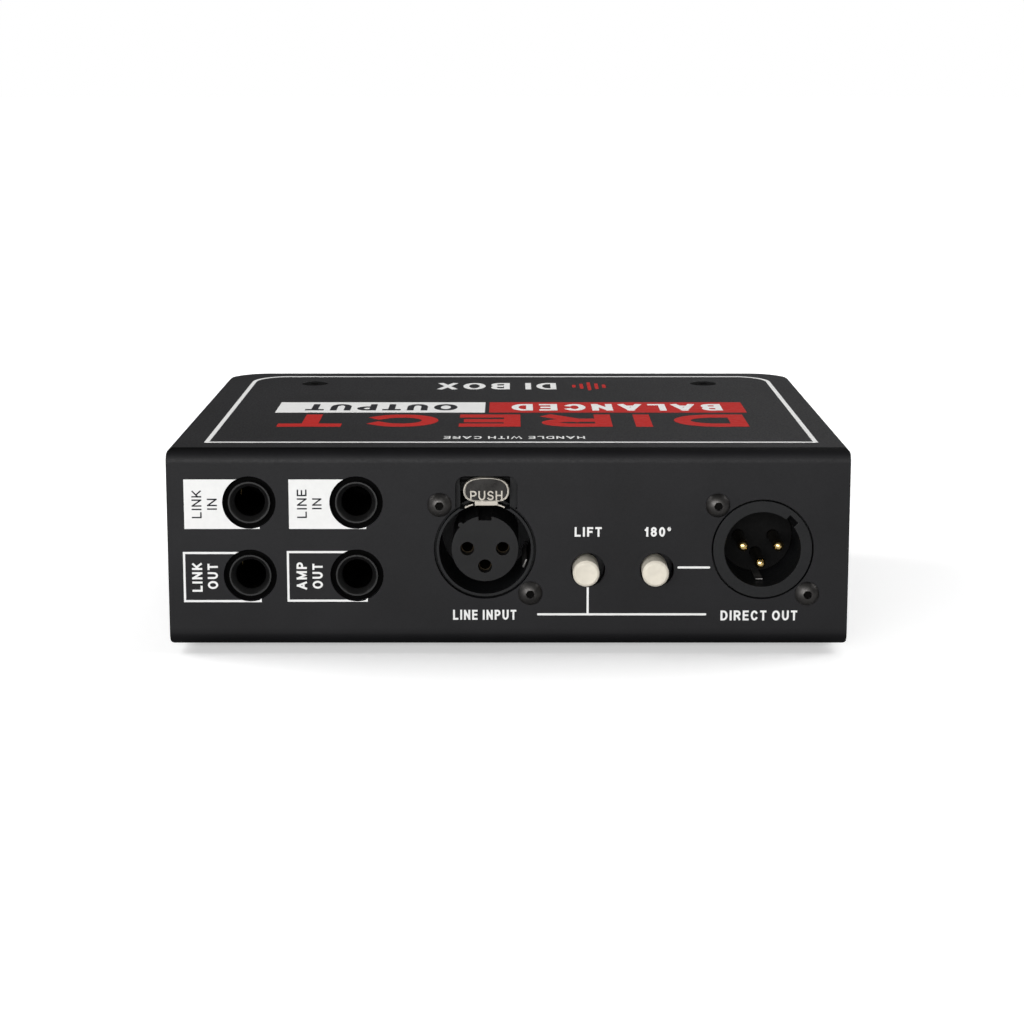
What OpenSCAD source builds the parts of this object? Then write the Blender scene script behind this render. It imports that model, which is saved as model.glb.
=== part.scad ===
// Direct injection box: folded steel case with sockets, balanced connectors and push buttons.
// Millimetres. +Z is up, the socket panel faces -Y, and the origin is under the middle of the pad.

/* [Case] */
// Width of the folded outer shell
body_w = 146; // [120:0.5:180]
// Depth of the folded outer shell
body_d = 102; // [80:0.5:140]
// Height of the steel case without its pad
metal_h = 43.2; // [36:0.1:60]
// Thickness of the folded outer shell
shell_t = 1.9; // [1.2:0.1:3]
// Thickness of the inner chassis
chassis_t = 1.5; // [1:0.1:2.5]
// Outer radius of the rear folds
fold_r = 3; // [2:0.5:5]
// Corner radius of the two front lips
lip_corner_r = 10; // [4:1:20]
// Depth of the recess in front of the control panel
recess_d = 11; // [6:0.5:18]
// Thickness of the pad under the case
pad_t = 1.5; // [1:0.25:4]
// Distance from the pad's edge to the case's edge
pad_inset = 8; // [4:0.5:15]

/* [Sockets] */
// Diameter of a jack socket's bore
jack_bore_d = 6.5; // [6.4:0.05:6.7]
// Length of a jack socket's straight bore
jack_wall = 9; // [6:0.5:12]
// Distance from a jack's axis down to its board
jack_h = 7.9; // [7:0.1:9]
// Diameter of a connector pin
pin_d = 2.4; // [2.2:0.1:2.6]

/* [Buttons] */
// Diameter of a button cap
cap_d = 5.7; // [4:0.1:7]
// Distance that a button stands out of its panel
cap_out = 3.7; // [3:0.1:6]
// Travel of a button
press_travel = 3; // [1:0.5:3.5]

/* [Hidden] */
$fn = 72;
y_rear = -body_d / 2;
y_front = body_d / 2;
z_low = pad_t;
z_high = pad_t + metal_h;
z_floor = z_low + shell_t;
z_roof = z_high - shell_t;
panel_y = y_front - recess_d;

board_t = 1.6;
board_top = 9.3;
upper_top = 25.3;
upper_low = upper_top - board_t;
low_jack_z = board_top + jack_h;
high_jack_z = upper_top + jack_h;
front_z = 17.2;

jack_x = [-55.4, -32.5];
front_jack_x = [-50, -26];
jack_hole_r = 5.7;
jack_half = 7;
jack_len = 27;
jack_above = 6.4;

female_x = -5;
female_z = 23;
male_x = 54.5;
male_z = 22.9;
xlr_hole_r = 10.95;
xlr_screw = 9.7;
pin_spots = [[-3.81, 0], [3.81, 0], [0, -3.85]];
pin_tip_y = 2.4;
pivot_y = 3.5;
pivot_z = 14.8;
latch_lift = 0.3;
tab_shift = 0.3;
notch_low = 8.8;
notch_high = 15.9;
notch_left = -6.3;
notch_right = 6.9;

lift_x = 16.6;
phase_x = 31.4;
rear_button_z = 18.45;
cap_hole_r = 3.65;
cap_hole_shift = 0.5;
pad_button_x = -4;
filter_button_x = 12;
level_x = 32;
led_x = 55;

lip_screw_x = 49.7;
lip_screw_y = 35;
standoff_spots = [[-66, -43], [66, -42], [-66, 24], [66, 24]];
spacer_spots = [[-66, -12], [-44, -12], [36, -12]];

// ---- Shared shapes ----

// Cylinder along Y between two places
module ycyl(y0, y1, r) {
  translate([0, y0, 0]) rotate([-90, 0, 0]) cylinder(h = y1 - y0, r = r);
}

// Cone along Y between two places
module ycone(y0, y1, r0, r1) {
  translate([0, y0, 0]) rotate([-90, 0, 0]) cylinder(h = y1 - y0, r1 = r0, r2 = r1);
}

// Tube along Y between two places
module ytube(y0, y1, r_out, r_in) {
  difference() {
    ycyl(y0, y1, r_out);
    ycyl(y0 - 1, y1 + 1, r_in);
  }
}

// Puts a local part on the rear panel's face, with local +Y pointing into the case
module on_rear(x, z) {
  translate([x, y_rear, z]) children();
}

// Puts a local part on the front panel's face, with local +Y pointing into the case
module on_front(x, z) {
  translate([x, panel_y, z]) rotate([0, 0, 180]) children();
}

// ---- Case ----

// Side view of the folded shell, with both rear folds rounded
module fold_profile(inset, r, front) {
  y0 = y_rear + inset;
  z0 = z_low + inset;
  z1 = z_high - inset;
  translate([y0 + r, z0]) square([front - y0 - r, z1 - z0]);
  translate([y0, z0 + r]) square([2 * r, z1 - z0 - 2 * r]);
  translate([y0 + r, z0 + r]) circle(r = r);
  translate([y0 + r, z1 - r]) circle(r = r);
}

// Plan view of the shell, with the two front corners rounded
module lip_outline() {
  r = lip_corner_r;
  translate([-body_w / 2, y_rear]) square([body_w, body_d - r]);
  translate([-body_w / 2 + r, y_rear]) square([body_w - 2 * r, body_d]);
  for (side = [-1, 1]) {
    translate([side * (body_w / 2 - r), y_front - r]) circle(r = r);
  }
}

// The case's outline seen from the rear, with small rounds on its four long edges
module side_outline() {
  r = 1.2;
  w = body_w - 2 * r;
  translate([-w / 2, y_rear - 1, z_low]) cube([w, body_d + 2, metal_h]);
  translate([-body_w / 2, y_rear - 1, z_low + r]) cube([body_w, body_d + 2, metal_h - 2 * r]);
  for (x = [-w / 2, w / 2], z = [z_low + r, z_high - r]) {
    translate([x, 0, z]) ycyl(y_rear - 1, y_front + 1, r);
  }
}

// Cut-out over the female connector for its push tab, with two rounded upper corners
module latch_notch(depth) {
  r = 2;
  w = notch_right - notch_left;
  translate([notch_left, -1, notch_low]) cube([w, depth, notch_high - r - notch_low]);
  translate([notch_left + r, -1, notch_high - 2 * r]) cube([w - 2 * r, depth, 2 * r]);
  for (x = [notch_left + r, notch_right - r]) {
    translate([x, 0, notch_high - r]) ycyl(-1, depth - 1, r);
  }
}

// Every cut through the rear panel
module rear_cuts() {
  for (x = jack_x) {
    on_rear(x, low_jack_z) ycyl(-1, shell_t + 1, jack_hole_r);
    on_rear(x, high_jack_z) ycyl(-1, shell_t + 1, jack_hole_r);
  }
  on_rear(female_x, female_z) {
    ycyl(-1, shell_t + 1, xlr_hole_r);
    latch_notch(shell_t + 2);
    for (s = [-1, 1]) translate([s * xlr_screw, 0, -s * xlr_screw]) ycyl(-1, shell_t + 1, 1.7);
  }
  on_rear(male_x, male_z) {
    ycyl(-1, shell_t + 1, xlr_hole_r);
    for (s = [-1, 1]) translate([s * xlr_screw, 0, -s * xlr_screw]) ycyl(-1, shell_t + 1, 1.7);
  }
  on_rear(lift_x + cap_hole_shift, rear_button_z) ycyl(-1, shell_t + 1, cap_hole_r);
  on_rear(phase_x + cap_hole_shift, rear_button_z) ycyl(-1, shell_t + 1, cap_hole_r);
}

// Outer shell: bottom, rear and top in one folded sheet, with lips past the front panel
module outer_shell() {
  color([0.2, 0.2, 0.21])
  difference() {
    intersection() {
      translate([-body_w / 2, 0, 0]) rotate([90, 0, 90])
        linear_extrude(height = body_w) fold_profile(0, fold_r, y_front);
      translate([0, 0, z_low - 1]) linear_extrude(height = metal_h + 2) lip_outline();
      side_outline();
    }
    translate([-body_w / 2 - 1, 0, 0]) rotate([90, 0, 90])
      linear_extrude(height = body_w + 2) fold_profile(shell_t, fold_r - shell_t, y_front + 5);
    rear_cuts();
    for (side = [-1, 1]) {
      translate([side * lip_screw_x, lip_screw_y, z_roof - 1]) cylinder(h = shell_t + 2, r = 1.7);
      translate([side * lip_screw_x, lip_screw_y, z_roof])
        cylinder(h = shell_t, r1 = 1.7, r2 = 3.45);
      translate([side * lip_screw_x, lip_screw_y, z_low - 1]) cylinder(h = shell_t + 2, r = 1.7);
      translate([side * lip_screw_x, lip_screw_y, z_low])
        cylinder(h = shell_t, r1 = 3.45, r2 = 1.7);
    }
  }
}

// One side wall of the chassis, with its rear corners cut off to clear the folds
module chassis_side() {
  y0 = y_rear + shell_t + 0.1;
  z0 = z_floor + 0.1;
  z1 = z_roof - 0.1;
  cut = 1.2;
  rotate([90, 0, 90]) linear_extrude(height = chassis_t)
    polygon([[y0 + cut, z0], [panel_y, z0], [panel_y, z1], [y0 + cut, z1],
      [y0, z1 - cut], [y0, z0 + cut]]);
}

// Every cut through the front panel
module front_cuts() {
  for (x = front_jack_x) on_front(x, front_z) ycyl(-1, chassis_t + 1, jack_hole_r);
  on_front(pad_button_x, front_z) ycyl(-1, chassis_t + 1, cap_hole_r);
  on_front(filter_button_x, front_z) ycyl(-1, chassis_t + 1, cap_hole_r);
  on_front(level_x, front_z) ycyl(-1, chassis_t + 1, 3.6);
  on_front(led_x, front_z) ycyl(-1, chassis_t + 1, 1.6);
}

// Inner chassis: recessed front panel, two side walls and the flanges that take the screws
module inner_chassis() {
  half = body_w / 2 - 0.6;
  z0 = z_floor + 0.1;
  z1 = z_roof - 0.1;
  flange_w = 128;
  flange_d = 13;
  color([0.25, 0.25, 0.26])
  difference() {
    union() {
      translate([-half, panel_y - chassis_t, z0]) cube([2 * half, chassis_t, z1 - z0]);
      translate([-half, 0, 0]) chassis_side();
      translate([half - chassis_t, 0, 0]) chassis_side();
      translate([-flange_w / 2, panel_y - flange_d, z0]) cube([flange_w, flange_d, chassis_t]);
      translate([-flange_w / 2, panel_y - flange_d, z1 - chassis_t])
        cube([flange_w, flange_d, chassis_t]);
    }
    front_cuts();
    for (side = [-1, 1]) {
      translate([side * lip_screw_x, lip_screw_y, z_low]) cylinder(h = metal_h, r = 1.55);
    }
  }
}

// Soft pad under the case, with holes over the lower screws
module base_pad() {
  color([0.08, 0.08, 0.08])
  difference() {
    translate([-body_w / 2 + pad_inset, y_rear + pad_inset, 0])
      cube([body_w - 2 * pad_inset, body_d - 2 * pad_inset, pad_t]);
    for (side = [-1, 1]) {
      translate([side * lip_screw_x, lip_screw_y, -1]) cylinder(h = pad_t + 2, r = 4.5);
    }
  }
}

// Countersunk screw, head up, with the head's face at the origin
module flat_screw(len) {
  difference() {
    union() {
      translate([0, 0, -1.85]) cylinder(h = 1.75, r1 = 1.5, r2 = 3.3);
      translate([0, 0, -len]) cylinder(h = len - 1, r = 1.5);
    }
    translate([0, 0, -1.2]) cylinder(h = 2, r = 1.15, $fn = 6);
  }
}

// Two screws through the top lip
module top_screws() {
  color([0.1, 0.1, 0.1])
  for (side = [-1, 1]) translate([side * lip_screw_x, lip_screw_y, z_high]) flat_screw(6);
}

// Two screws through the bottom lip
module bottom_screws() {
  color([0.1, 0.1, 0.1])
  for (side = [-1, 1]) {
    translate([side * lip_screw_x, lip_screw_y, z_low]) mirror([0, 0, 1]) flat_screw(4.6);
  }
}

// ---- Boards ----

// Circuit board that carries the lower jacks and every front control
module main_board() {
  color([0.1, 0.35, 0.2])
  difference() {
    translate([-69, -47, board_top - board_t]) cube([138, 83, board_t]);
    for (p = standoff_spots) translate([p[0], p[1], 0]) cylinder(h = 20, r = 1.6);
    for (p = spacer_spots) translate([p[0], p[1], 0]) cylinder(h = 20, r = 1.6);
  }
}

// Circuit board that carries the upper jacks and the rear switches
module upper_board() {
  color([0.1, 0.35, 0.2])
  difference() {
    translate([-69, -48, upper_low]) cube([109, 40, board_t]);
    translate([female_x - 14, -49, upper_low - 1]) cube([28, 26, board_t + 2]);
    for (p = spacer_spots) translate([p[0], p[1], 0]) cylinder(h = 40, r = 1.6);
  }
}

// Hexagonal spacers between the two boards
module board_spacers() {
  color([0.75, 0.7, 0.45])
  for (p = spacer_spots) translate([p[0], p[1], board_top]) difference() {
    cylinder(h = upper_low - board_top, r = 3, $fn = 6);
    translate([0, 0, -1]) cylinder(h = upper_low - board_top + 2, r = 1.55);
  }
}

// Threaded standoffs pressed into the shell's floor
module base_standoffs() {
  h = board_top - board_t - z_floor;
  color([0.7, 0.7, 0.7])
  for (p = standoff_spots) translate([p[0], p[1], z_floor]) difference() {
    cylinder(h = h, r = 2.8);
    translate([0, 0, 0.6]) cylinder(h = h, r = 1.55);
  }
}

// Pan head screw, head up, with the underside of its head at the origin
module pan_screw(len) {
  difference() {
    union() {
      cylinder(h = 1.6, r = 2.7);
      translate([0, 0, -len]) cylinder(h = len + 0.5, r = 1.5);
    }
    for (turn = [0, 90]) rotate([0, 0, turn]) translate([-1.7, -0.3, 0.7]) cube([3.4, 0.6, 2]);
  }
}

// Screws that hold both boards down
module board_screws() {
  color([0.75, 0.75, 0.75]) {
    for (p = standoff_spots) translate([p[0], p[1], board_top]) pan_screw(4);
    for (p = spacer_spots) translate([p[0], p[1], upper_top]) pan_screw(6);
    for (p = spacer_spots) {
      translate([p[0], p[1], board_top - board_t]) mirror([0, 0, 1]) pan_screw(5);
    }
  }
}

// Plug-together connector strip between the two boards
module board_header() {
  color([0.1, 0.1, 0.1])
  translate([-14, -13, board_top]) difference() {
    cube([26, 2.6, upper_low - board_top]);
    for (i = [0:9]) translate([0.8 + i * 2.54, 0.8, 1]) cube([1, 1, upper_low - board_top]);
  }
}

// ---- Jack sockets ----

// Spots along a jack where its contacts leave, and the side of each
contact_spots = [[15, -1], [20, 1], [24.4, -1]];

// Moulded jack body on its board
module jack_body(panel_t) {
  wall_start = 2.1;
  color([0.12, 0.12, 0.12])
  difference() {
    union() {
      translate([-jack_half, panel_t, -jack_h]) cube([2 * jack_half, jack_len, jack_h + jack_above]);
      ycyl(0, panel_t + 1, 4.5);
    }
    ycone(-0.1, 1.4, 4.25, jack_bore_d / 2);
    ycyl(1.3, wall_start + jack_wall + 0.2, jack_bore_d / 2);
    ycyl(wall_start + jack_wall, panel_t + jack_len - 1.4, 4.4);
    ycyl(20, panel_t + jack_len + 1, 3.4);
    for (c = contact_spots) {
      translate([c[1] > 0 ? 0 : -10, c[0] - 1.4, -0.4]) cube([10, 2.8, 0.8]);
    }
  }
}

// One bent contact: a leaf in the bore, a bridge through the side and a foot on the board
module jack_contact(side) {
  mirror([side > 0 ? 0 : 1, 0, 0]) {
    translate([3.5, -1.2, -1.4]) cube([0.4, 2.4, 2.8]);
    translate([3.5, -1.2, -0.2]) cube([4.1, 2.4, 0.4]);
    translate([7.2, -1.2, -jack_h]) cube([0.4, 2.4, jack_h + 0.2]);
    translate([7.2, -1.2, -jack_h]) cube([1.6, 2.4, 0.4]);
  }
}

// The three contacts of one jack
module jack_contacts() {
  color([0.85, 0.75, 0.45])
  for (c = contact_spots) translate([0, c[0], 0]) jack_contact(c[1]);
}

module link_in_jack() {
  on_rear(jack_x[0], high_jack_z) jack_body(shell_t);
}
module link_in_contacts() {
  on_rear(jack_x[0], high_jack_z) jack_contacts();
}
module line_in_jack() {
  on_rear(jack_x[1], high_jack_z) jack_body(shell_t);
}
module line_in_contacts() {
  on_rear(jack_x[1], high_jack_z) jack_contacts();
}
module link_out_jack() {
  on_rear(jack_x[0], low_jack_z) jack_body(shell_t);
}
module link_out_contacts() {
  on_rear(jack_x[0], low_jack_z) jack_contacts();
}
module amp_out_jack() {
  on_rear(jack_x[1], low_jack_z) jack_body(shell_t);
}
module amp_out_contacts() {
  on_rear(jack_x[1], low_jack_z) jack_contacts();
}
module input_jack() {
  on_front(front_jack_x[0], front_z) jack_body(chassis_t);
}
module input_contacts() {
  on_front(front_jack_x[0], front_z) jack_contacts();
}
module thru_jack() {
  on_front(front_jack_x[1], front_z) jack_body(chassis_t);
}
module thru_contacts() {
  on_front(front_jack_x[1], front_z) jack_contacts();
}

// ---- Balanced connectors ----

// Holes for the two screws that hold a connector to the panel
module flange_holes() {
  for (s = [-1, 1]) translate([s * xlr_screw, 0, -s * xlr_screw]) ycyl(1, 10, 1.55);
}

// Die-cast shell of the female connector, with its latch housing
module female_shell() {
  color([0.55, 0.55, 0.57])
  on_rear(female_x, female_z) difference() {
    union() {
      ycyl(0, 21, 10.4);
      translate([-13, shell_t, -13.5]) cube([26, 2, 27]);
      for (side = [-1, 1]) translate([side * 6.2 - 0.8, shell_t, 7.6]) cube([1.6, 5.5, 8.6]);
      translate([-6.9, shell_t + 4.5, 11.3]) cube([13.8, 1, 2.4]);
    }
    ycyl(-1, 17, 9.85);
    ycyl(16, 22, 7.2);
    flange_holes();
    translate([-5.3, -1, notch_low]) cube([10.6, 5.4, 9]);
    translate([-2.9, -1, 6]) cube([5.8, 13.7, 5.2]);
    translate([-10, pivot_y, pivot_z]) rotate([0, 90, 0]) cylinder(h = 20, r = 0.85);
  }
}

// Insulating insert of the female connector
module female_insert() {
  color([0.1, 0.1, 0.11])
  on_rear(female_x, female_z) difference() {
    union() {
      ycyl(0.4, 23, 7.175);
      translate([-5.2, 0, 5.2]) ycyl(0.4, 6, 0.55);
    }
    for (p = pin_spots) translate([p[0], 0, p[1]]) ycyl(-1, 24, 1.475);
    translate([-1.4, -1, 6.2]) cube([2.8, 17, 2]);
  }
}

// Solder tail from a connector's contact down to the main board
module contact_tail(p, y, centre_z) {
  translate([p[0] - 0.5, y, board_top - centre_z]) cube([1, 1, p[1] + centre_z - board_top]);
}

// Three socket contacts
module female_sockets() {
  color([0.85, 0.72, 0.4])
  on_rear(female_x, female_z) for (p = pin_spots) {
    translate([p[0], 0, p[1]]) difference() {
      ycyl(2.6, 24.2, 1.42);
      ycyl(1, 16, pin_d / 2 + 0.02);
    }
    contact_tail(p, 23.2, female_z);
  }
}

// Latch: push tab, rocker arm with a hook, and its pivot pin
module female_latch() {
  color([0.6, 0.6, 0.62])
  on_rear(female_x, female_z) {
    translate([0, 0, latch_lift]) {
      translate([-4.85 + tab_shift, -0.6, 10.05]) cube([9.7, 1.8, 5.15]);
      translate([-4.6, 0.8, 13.3]) cube([9.2, 3.8, 1.9]);
      translate([-2.5, -0.2, 8.95]) cube([5, 11.7, 1.05]);
      translate([-2.5, -0.2, 8.95]) cube([5, 1.4, 2]);
      translate([-2.5, 9.5, 8.4]) cube([5, 2, 1.2]);
    }
    translate([-6.8, pivot_y, pivot_z]) rotate([0, 90, 0]) cylinder(h = 13.6, r = 0.8);
  }
}

// Return spring behind the push tab
module latch_spring() {
  color([0.7, 0.7, 0.72])
  on_rear(female_x, female_z) translate([0, 0, 12.15 + latch_lift]) ytube(1.22, 6.38, 1.05, 0.75);
}

// Earth contact strip beside the female insert
module female_ground_clip() {
  color([0.8, 0.8, 0.82])
  on_rear(female_x, female_z) rotate([0, 22, 0]) translate([9, 1.2, -1]) cube([0.4, 15.8, 2]);
}

// Die-cast shell of the male connector, with its keyway
module male_shell() {
  color([0.55, 0.55, 0.57])
  on_rear(male_x, male_z) difference() {
    union() {
      ycyl(0, 19, 10.6);
      translate([-13, shell_t, -13.4]) cube([26, 2, 26.9]);
    }
    ycyl(-1, 15, 8.2);
    ycyl(14, 20, 7.2);
    flange_holes();
    rotate([0, 45, 0]) translate([-1.2, -1, 7]) cube([2.4, 13.8, 2.4]);
  }
}

// Insulating base of the male connector
module male_insert() {
  color([0.1, 0.1, 0.11])
  on_rear(male_x, male_z) difference() {
    union() {
      ycyl(13, 15, 8.15);
      ycyl(14, 21, 7.15);
    }
    for (p = pin_spots) translate([p[0], 0, p[1]]) ycyl(12, 22, pin_d / 2 + 0.02);
  }
}

// Three contact pins with round tips
module male_pins() {
  color([0.9, 0.72, 0.35])
  on_rear(male_x, male_z) for (p = pin_spots) {
    translate([p[0], 0, p[1]]) {
      ycyl(pin_tip_y + pin_d / 2, 22.4, pin_d / 2);
      translate([0, pin_tip_y + pin_d / 2, 0]) sphere(r = pin_d / 2);
    }
    contact_tail(p, 21.4, male_z);
  }
}

// Earth contact strip on the floor of the male connector
module male_ground_clip() {
  color([0.8, 0.8, 0.82])
  on_rear(male_x, male_z) translate([-0.8, 5, -8.05]) cube([1.6, 8, 0.4]);
}

// Button head screws that hold both connectors to the panel
module connector_screws() {
  head_h = 1.5;
  dome_r = 3.25;
  color([0.12, 0.12, 0.12])
  for (c = [[female_x, female_z], [male_x, male_z]], s = [-1, 1]) {
    on_rear(c[0] + s * xlr_screw, c[1] - s * xlr_screw) difference() {
      union() {
        intersection() {
          translate([0, dome_r - head_h, 0]) sphere(r = dome_r);
          ycyl(-head_h, 0, 2.6);
        }
        ycyl(-0.5, 6, 1.5);
      }
      translate([0, -2, 0]) rotate([-90, 0, 0]) cylinder(h = 1.4, r = 0.95, $fn = 6);
    }
  }
}

// ---- Push switches ----

// Parts of one switch, along local +Y from the panel's face
switch_front = 7;
switch_len = 16;
cap_back = 3.4;
cap_seat = 1;
stem_r = 1.5;
collar_y = 10.1;

// Switch body. up and down are the distances from its axis to its faces, leg to its board
module switch_body(up, down, leg) {
  color([0.15, 0.15, 0.16])
  difference() {
    union() {
      translate([-4.3, switch_front, -down]) cube([8.6, switch_len, up + down]);
      if (leg > 0) for (sx = [-3.4, 2.6], k = [0:2]) {
        translate([sx, switch_front + 2.5 + 5 * k, -down - leg]) cube([0.8, 0.8, leg + 0.5]);
      }
    }
    ycyl(switch_front - 1, switch_front + 4, stem_r + 0.05);
    ycyl(switch_front + 3, switch_front + 14.8, 2.6);
  }
}

// Sliding stem with the collar that stops it
module switch_plunger() {
  color([0.9, 0.9, 0.88]) {
    ycyl(cap_seat, 18, stem_r);
    ycyl(collar_y, collar_y + 1.2, 2.4);
  }
}

// Button cap pushed onto the stem, with a softened edge
module button_cap() {
  edge = 0.5;
  color([0.88, 0.86, 0.8])
  difference() {
    union() {
      ycyl(-cap_out + edge, cap_back, cap_d / 2);
      ycone(-cap_out, -cap_out + edge, cap_d / 2 - edge, cap_d / 2);
    }
    ycyl(cap_seat, cap_back + 1, stem_r + 0.02);
  }
}

// Return spring between the cap and the switch body
module switch_spring() {
  color([0.7, 0.7, 0.72]) ytube(cap_back + 0.02, switch_front - 0.02, 2.25, 1.85);
}

module lift_switch() {
  on_rear(lift_x, rear_button_z) switch_body(upper_low - rear_button_z, 4.3, 0);
}
module lift_plunger() {
  on_rear(lift_x, rear_button_z) switch_plunger();
}
module lift_cap() {
  on_rear(lift_x, rear_button_z) button_cap();
}
module lift_spring() {
  on_rear(lift_x, rear_button_z) switch_spring();
}
module phase_switch() {
  on_rear(phase_x, rear_button_z) switch_body(upper_low - rear_button_z, 4.3, 0);
}
module phase_plunger() {
  on_rear(phase_x, rear_button_z) switch_plunger();
}
module phase_cap() {
  on_rear(phase_x, rear_button_z) button_cap();
}
module phase_spring() {
  on_rear(phase_x, rear_button_z) switch_spring();
}
module pad_switch() {
  on_front(pad_button_x, front_z) switch_body(4.3, 4.3, front_z - 4.3 - board_top);
}
module pad_plunger() {
  on_front(pad_button_x, front_z) switch_plunger();
}
module pad_cap() {
  on_front(pad_button_x, front_z) button_cap();
}
module pad_spring() {
  on_front(pad_button_x, front_z) switch_spring();
}
module filter_switch() {
  on_front(filter_button_x, front_z) switch_body(4.3, 4.3, front_z - 4.3 - board_top);
}
module filter_plunger() {
  on_front(filter_button_x, front_z) switch_plunger();
}
module filter_cap() {
  on_front(filter_button_x, front_z) button_cap();
}
module filter_spring() {
  on_front(filter_button_x, front_z) switch_spring();
}

// ---- Level control and lamp ----

pot_r = 7.6;
shaft_r = 3;
nut_h = 2;

// Potentiometer: round can, threaded bush and a foot on the board
module level_pot() {
  color([0.6, 0.6, 0.58])
  on_front(level_x, front_z) difference() {
    union() {
      ycyl(chassis_t + 1.2, chassis_t + 11, pot_r);
      ycyl(-nut_h - 0.3, chassis_t + 2, 3.5);
      translate([-5, chassis_t + 4, board_top - front_z]) cube([10, 5, 3]);
    }
    ycyl(-5, chassis_t + 4, shaft_r + 0.05);
    ycyl(chassis_t + 3, chassis_t + 9.5, 6.3);
  }
}

// Turning shaft with the wiper disc inside the can
module level_shaft() {
  color([0.75, 0.75, 0.76])
  on_front(level_x, front_z) {
    ycyl(-9.6, chassis_t + 7, shaft_r);
    ycyl(chassis_t + 4.5, chassis_t + 6, 5.9);
  }
}

// Hexagonal nut that holds the potentiometer to the panel
module level_nut() {
  color([0.75, 0.75, 0.76])
  on_front(level_x, front_z) difference() {
    translate([0, -nut_h, 0]) rotate([-90, 0, 0]) cylinder(h = nut_h, r = 5.3, $fn = 6);
    ycyl(-nut_h - 1, 1, 3.52);
  }
}

// Round knob with a pointer groove, pushed onto the shaft
module level_knob() {
  top = -10.6;
  low = -2.7;
  color([0.1, 0.1, 0.1])
  on_front(level_x, front_z) difference() {
    union() {
      ycyl(top + 0.8, low, 7);
      ycone(top, top + 0.8, 6.2, 7);
    }
    ycyl(-9.6, low + 1, shaft_r + 0.02);
    translate([-0.4, top - 1, 1.5]) cube([0.8, 1.5, 6]);
    for (k = [0:17]) rotate([0, k * 20, 0]) translate([0, 0, 7.35]) ycyl(top - 1, low + 1, 0.6);
  }
}

// Power lamp: dome, collar and two legs
module power_led() {
  color([0.2, 0.6, 0.9])
  on_front(led_x, front_z) {
    ycyl(-0.3, 4, 1.5);
    translate([0, -0.3, 0]) sphere(r = 1.5);
    ycyl(chassis_t + 0.1, 3.2, 1.9);
    for (sx = [-1.15, 0.65]) {
      translate([sx, 3.4, -0.25]) cube([0.5, 2.6, 0.5]);
      translate([sx, 5.5, board_top - front_z]) cube([0.5, 0.5, front_z - board_top + 0.25]);
    }
  }
}

// ---- Inner electronics ----

tr_x = 6;
tr_y = 2;

// Laminated core of the isolation transformer, round its bobbin
module transformer_core() {
  color([0.3, 0.3, 0.32])
  translate([tr_x - 14, tr_y - 6, board_top + 1]) difference() {
    cube([28, 12, 22]);
    for (x = [4.5, 17.5]) translate([x, -1, 4.5]) cube([6, 14, 13]);
  }
}

// Wound bobbin on the core's middle leg
module transformer_bobbin() {
  color([0.75, 0.55, 0.2])
  translate([tr_x, tr_y, board_top]) difference() {
    union() {
      translate([-9.4, -9.5, 5.6]) cube([18.8, 19, 12.8]);
      translate([-9.4, -9.5, 0]) cube([18.8, 3, 6]);
      translate([-9.4, 6.5, 0]) cube([18.8, 3, 6]);
    }
    translate([-3.55, -6.05, 5]) cube([7.1, 12.1, 15]);
    translate([-9.5, -6.05, 0]) cube([19, 12.1, 5.55]);
  }
}

// Round capacitors on the main board
module capacitors() {
  color([0.15, 0.2, 0.45])
  for (c = [[-60, -2, 4, 12], [-50, -2, 4, 12], [44, -8, 5, 14], [57, -8, 5, 14], [48, 10, 3.2, 9]]) {
    translate([c[0], c[1], board_top]) cylinder(h = c[3], r = c[2]);
  }
}

// Packaged circuits on the main board
module chips() {
  color([0.1, 0.1, 0.1])
  for (c = [[-36, -3], [-36, -18], [-24, -3]]) {
    translate([c[0] - 3.2, c[1] - 2.5, board_top]) cube([6.4, 5, 3.4]);
  }
}

outer_shell();
inner_chassis();
base_pad();
top_screws();
bottom_screws();
main_board();
upper_board();
board_spacers();
base_standoffs();
board_screws();
board_header();
link_in_jack();
link_in_contacts();
link_out_jack();
link_out_contacts();
line_in_jack();
line_in_contacts();
amp_out_jack();
amp_out_contacts();
input_jack();
input_contacts();
thru_jack();
thru_contacts();
female_shell();
female_insert();
female_sockets();
female_latch();
latch_spring();
female_ground_clip();
male_shell();
male_insert();
male_pins();
male_ground_clip();
connector_screws();
lift_switch();
lift_plunger();
lift_cap();
lift_spring();
phase_switch();
phase_plunger();
phase_cap();
phase_spring();
pad_switch();
pad_plunger();
pad_cap();
pad_spring();
filter_switch();
filter_plunger();
filter_cap();
filter_spring();
level_pot();
level_shaft();
level_nut();
level_knob();
power_led();
transformer_core();
transformer_bobbin();
capacitors();
chips();
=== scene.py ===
"""Looks of the direct injection box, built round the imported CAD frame.

Scene sizes are in metres. The mesh and printing helpers take millimetres.
"""

import math

import bmesh
import bpy
from mathutils import Matrix, Vector


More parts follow.
